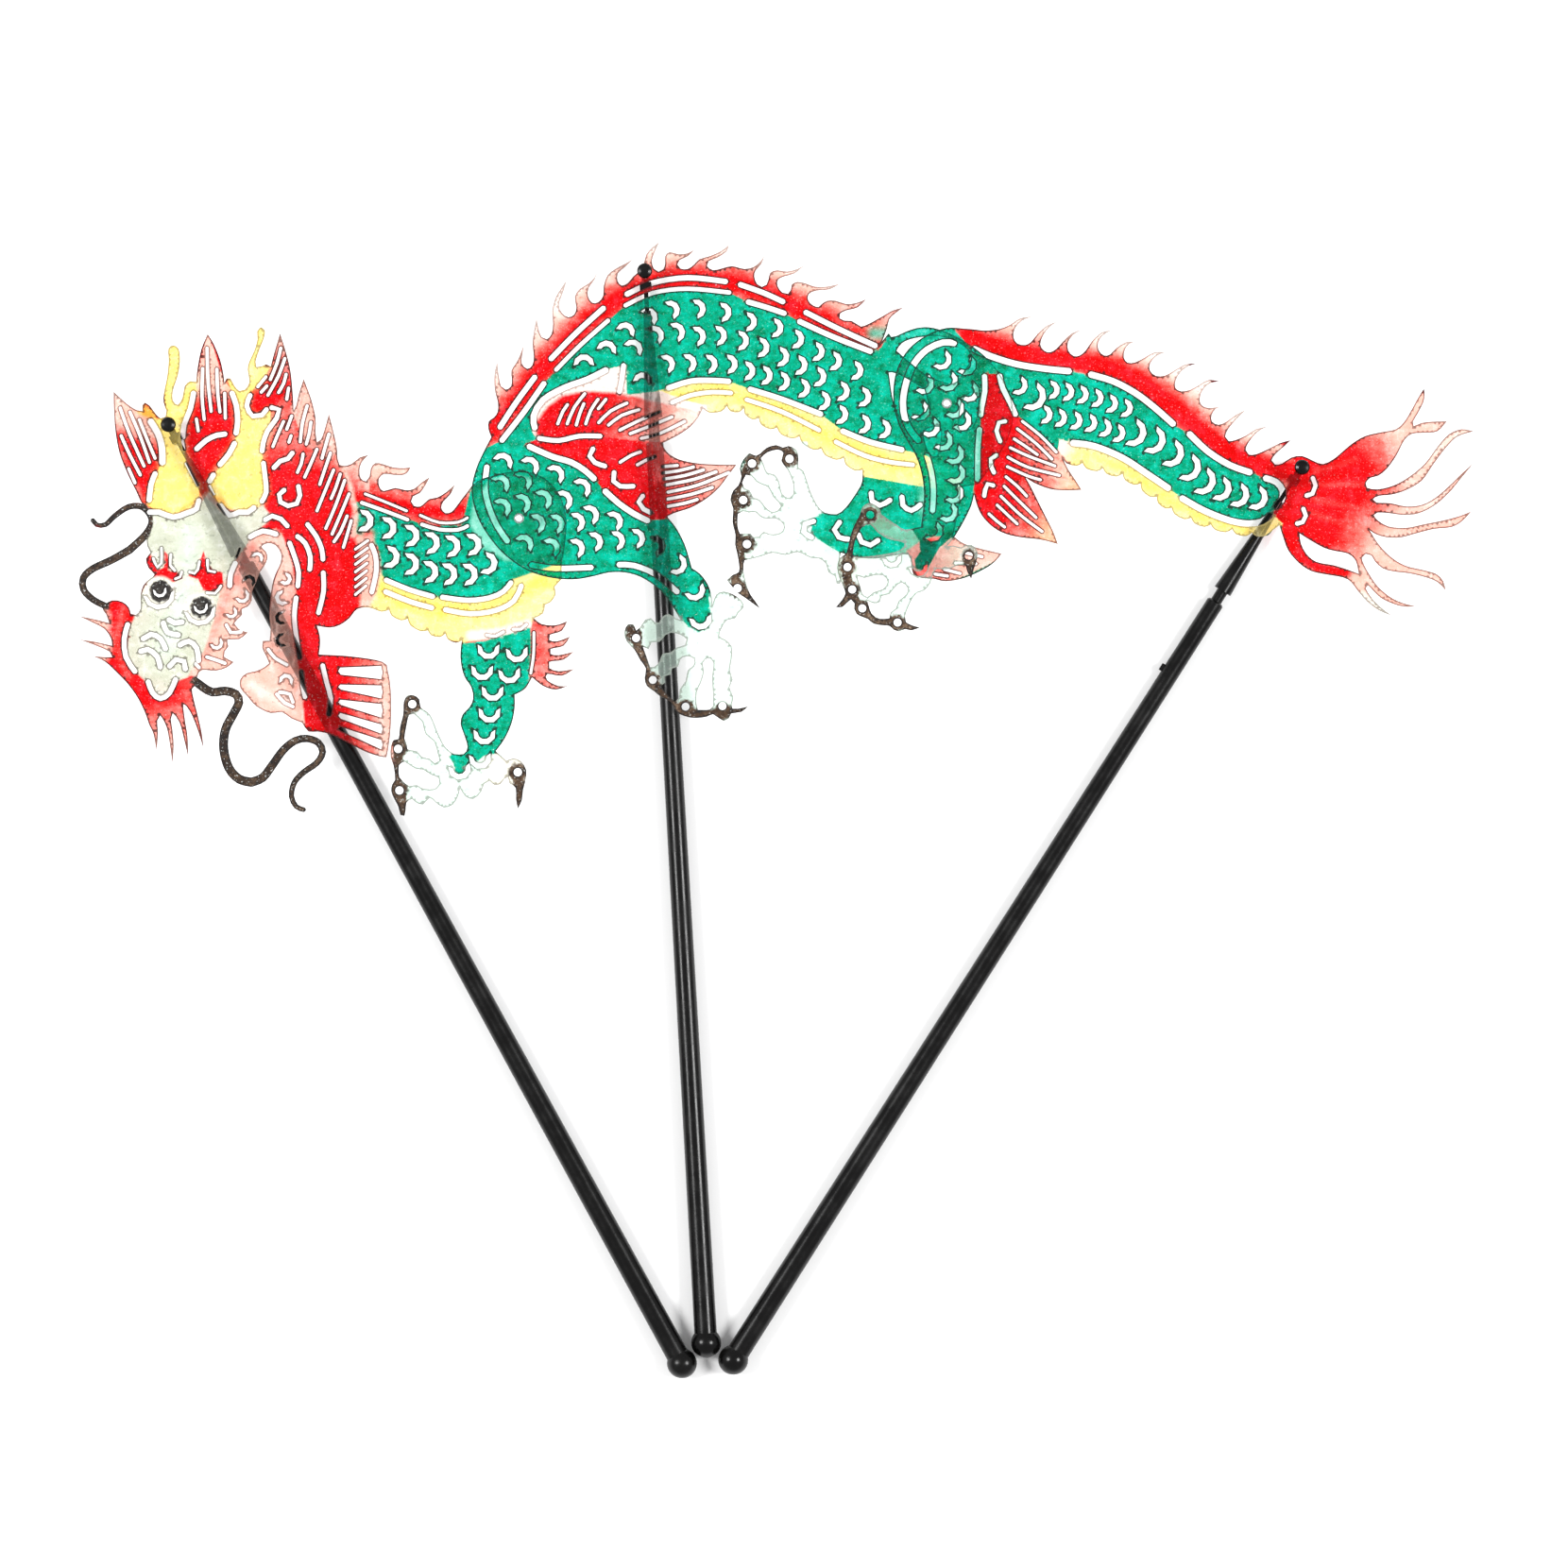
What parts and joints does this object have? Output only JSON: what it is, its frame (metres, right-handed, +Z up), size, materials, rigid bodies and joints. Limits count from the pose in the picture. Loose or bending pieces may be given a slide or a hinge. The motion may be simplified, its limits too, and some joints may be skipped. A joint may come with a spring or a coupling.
{
  "type": "dragon shadow puppet",
  "caption": "Flat dragon cut from painted translucent film in three riveted sheets, moved by black control rods hinged at head, back and tail.",
  "frame": {"origin": "middle of the outline box on the table that the puppet lies on", "axes": "+X from the head towards the tail, +Y from the rods' balls towards the dragon's back, +Z up from the table"},
  "size_m": [0.4432, 0.3611, 0.0109],
  "materials": {
    "front_film": "satin",
    "middle_film": "satin",
    "rear_film": "satin",
    "clear_rivet": "gloss",
    "black_plastic": "satin"
  },
  "bodies": {
    "middle": {"middle_sheet": "middle_film", "front_pivot_stud": "clear_rivet", "front_pivot_cap": "clear_rivet", "rear_pivot_stud": "clear_rivet", "rear_pivot_cap": "clear_rivet", "middle_button": "black_plastic", "middle_fork": "black_plastic", "middle_hinge_pin": "black_plastic"},
    "front": {"front_sheet": "front_film"},
    "rear": {"rear_sheet": "rear_film"},
    "head_holder": {"head_button": "black_plastic", "head_fork": "black_plastic", "head_hinge_pin": "black_plastic"},
    "rear_holder": {"rear_button": "black_plastic", "rear_fork": "black_plastic", "rear_hinge_pin": "black_plastic"},
    "head_tip": {"head_tip": "black_plastic"},
    "middle_tip": {"middle_tip": "black_plastic"},
    "rear_tip": {"rear_tip": "black_plastic"},
    "head_rod": {"head_rod": "black_plastic"},
    "middle_rod": {"middle_rod": "black_plastic"},
    "rear_rod": {"rear_rod": "black_plastic"}
  },
  "joints": [
    {"name": "front_pivot", "type": "hinge", "parent": "middle", "child": "front", "pos_m": [-0.0816, 0.0932, 0.0077], "axis": [0, 0, 1], "range_deg": [-30, 0]},
    {"name": "rear_pivot", "type": "hinge", "parent": "middle", "child": "rear", "pos_m": [0.0542, 0.1297, 0.0086], "axis": [0, 0, 1], "range_deg": [0, 30]},
    {"name": "head_swivel", "type": "hinge", "parent": "front", "child": "head_holder", "pos_m": [-0.193, 0.123, 0.0072], "axis": [0, 0, 1], "range_deg": [-40, 0]},
    {"name": "rear_swivel", "type": "hinge", "parent": "rear", "child": "rear_holder", "pos_m": [0.167, 0.1094, 0.009], "axis": [0, 0, 1], "range_deg": [0, 40]},
    {"name": "head_tilt", "type": "hinge", "parent": "head_holder", "child": "head_tip", "pos_m": [-0.1907, 0.11879, 0.0028], "axis": [0.8774, 0.4797, 0], "range_deg": [0, 90]},
    {"name": "head_slide", "type": "slide", "parent": "head_tip", "child": "head_rod", "axis": [0.4797, -0.8774, 0.006], "range_m": [-0.0037, 0.006]},
    {"name": "middle_tilt", "type": "hinge", "parent": "middle", "child": "middle_tip", "pos_m": [-0.04143, 0.16701, 0.0028], "axis": [0.9984, 0.0572, 0], "range_deg": [0, 90]},
    {"name": "middle_slide", "type": "slide", "parent": "middle_tip", "child": "middle_rod", "axis": [0.0572, -0.9983, 0.0059], "range_m": [-0.0075, 0]},
    {"name": "rear_tilt", "type": "hinge", "parent": "rear_holder", "child": "rear_tip", "pos_m": [0.16442, 0.10535, 0.0028], "axis": [0.8435, -0.5371, 0], "range_deg": [0, 90]},
    {"name": "rear_slide", "type": "slide", "parent": "rear_tip", "child": "rear_rod", "axis": [-0.5371, -0.8435, 0.006], "range_m": [-0.0036, 0.006]}
  ]
}
